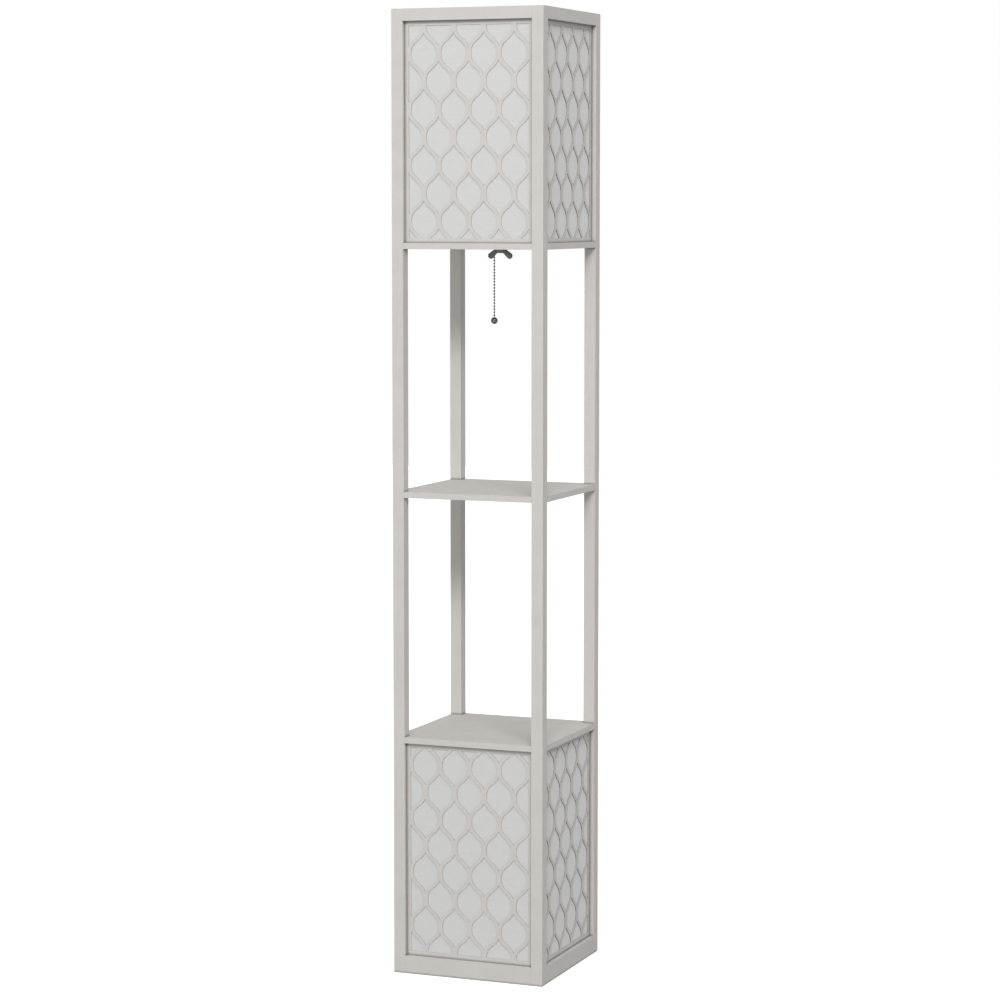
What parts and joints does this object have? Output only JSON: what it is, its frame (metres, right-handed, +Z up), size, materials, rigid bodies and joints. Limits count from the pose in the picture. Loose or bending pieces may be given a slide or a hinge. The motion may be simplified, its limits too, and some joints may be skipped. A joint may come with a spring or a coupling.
{
  "type": "shelf floor lamp",
  "caption": "Square shelf floor lamp with a latticed shade box on top, open shelf bays between full-height posts, a latticed box at the foot and a pull chain.",
  "frame": {"origin": "on the floor under the middle of the lamp", "axes": "+Z up, the front with its pull chain forward of the stem looks to -Y, +X to the right seen from the front"},
  "size_m": [0.266, 0.266, 1.6],
  "materials": {
    "frame_paint": "satin paint",
    "lattice_paint": "satin paint",
    "lining_fabric": "matt weave",
    "dark_metal": "dark nickel, satin",
    "stem_steel": "zinc plated",
    "socket_brass": "satin",
    "socket_core": "moulded",
    "screw_shell_metal": "satin",
    "bulb_base_metal": "satin",
    "bulb_glass": "frosted",
    "bush_plastic": "moulded"
  },
  "bodies": {
    "lamp": {"back_bottom_rail": "frame_paint", "back_left_post": "frame_paint", "back_lower_lattice": "lattice_paint", "back_lower_lining": "lining_fabric", "back_right_post": "frame_paint", "back_top_rail": "frame_paint", "back_upper_lattice": "lattice_paint", "back_upper_lining": "lining_fabric", "base_board": "frame_paint", "bulb_base": "bulb_base_metal", "bulb_glass": "bulb_glass", "chain_guide": "socket_brass", "cord_bush": "bush_plastic", "front_bottom_rail": "frame_paint", "front_left_post": "frame_paint", "front_lower_lattice": "lattice_paint", "front_lower_lining": "lining_fabric", "front_right_post": "frame_paint", "front_top_rail": "frame_paint", "front_upper_lattice": "lattice_paint", "front_upper_lining": "lining_fabric", "lamp_board": "frame_paint", "left_bottom_rail": "frame_paint", "left_lower_lattice": "lattice_paint", "left_lower_lining": "lining_fabric", "left_top_rail": "frame_paint", "left_upper_lattice": "lattice_paint", "left_upper_lining": "lining_fabric", "lower_shelf": "frame_paint", "middle_shelf": "frame_paint", "right_bottom_rail": "frame_paint", "right_lower_lattice": "lattice_paint", "right_lower_lining": "lining_fabric", "right_top_rail": "frame_paint", "right_upper_lattice": "lattice_paint", "right_upper_lining": "lining_fabric", "screw_shell": "screw_shell_metal", "socket_cap": "socket_brass", "socket_core": "socket_core", "socket_shell": "socket_brass", "stem": "stem_steel", "stem_nut": "stem_steel", "stem_washers": "stem_steel", "wing_nut": "dark_metal"},
    "chain_pull": {"chain_inside": "dark_metal"},
    "chain_drop": {"chain_hanging": "dark_metal", "chain_ball": "dark_metal"}
  },
  "joints": [
    {"name": "chain_pull_slide", "type": "slide", "parent": "lamp", "child": "chain_pull", "axis": [0, 0, -1], "range_m": [0, 0.008], "stiffness_N_per_m": 400, "springref_m": -0.002},
    {"name": "chain_swing", "type": "hinge", "parent": "chain_pull", "child": "chain_drop", "pos_m": [0, -0.0135, 1.21], "axis": [0, 1, 0], "range_deg": [-25, 25]}
  ]
}
